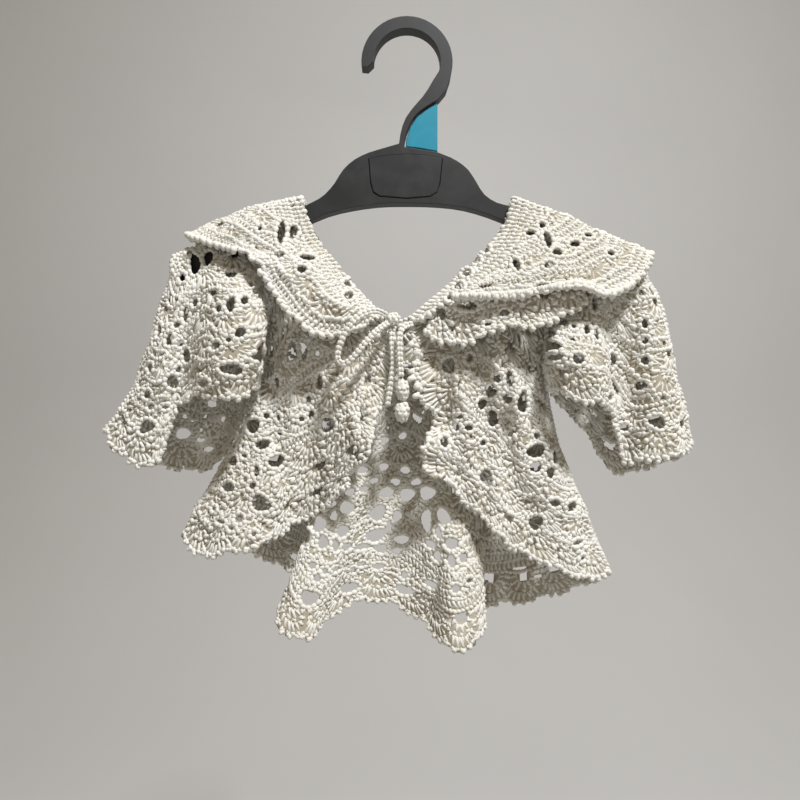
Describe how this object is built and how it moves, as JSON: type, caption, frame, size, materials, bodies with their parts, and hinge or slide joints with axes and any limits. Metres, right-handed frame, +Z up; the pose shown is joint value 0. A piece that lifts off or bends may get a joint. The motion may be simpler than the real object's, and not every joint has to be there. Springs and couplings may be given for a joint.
{
  "type": "cardigan on hanger",
  "caption": "Short open crocheted cotton child's cardigan with wide folded collar, short sleeves, scalloped hems and a tied cord, hanging on a flat plastic hanger.",
  "frame": {"origin": "crown of the inside of the hanger's hook, where it rests on a rail or peg", "axes": "+Z up, +Y to the back of the garment, +X to the right of someone who faces its front"},
  "size_m": [0.3831, 0.0725, 0.4008],
  "materials": {
    "cotton": "matte crocheted cotton",
    "charcoal_plastic": "satin",
    "cyan_plastic": "satin"
  },
  "bodies": {
    "root": {"front_left": "cotton", "front_right": "cotton", "back": "cotton", "sleeve_left_front": "cotton", "sleeve_left_back": "cotton", "sleeve_right_front": "cotton", "sleeve_right_back": "cotton", "collar_left": "cotton", "collar_right": "cotton", "collar_back": "cotton", "collar_right_frill": "cotton", "tie_loop": "cotton", "tie_tail_left": "cotton", "tie_tail_right": "cotton", "tie_knot": "cotton", "tie_bobble_upper": "cotton", "tie_bobble_lower": "cotton", "hanger": "charcoal_plastic", "badge_plate": "charcoal_plastic", "size_tag": "cyan_plastic"}
  },
  "joints": []
}
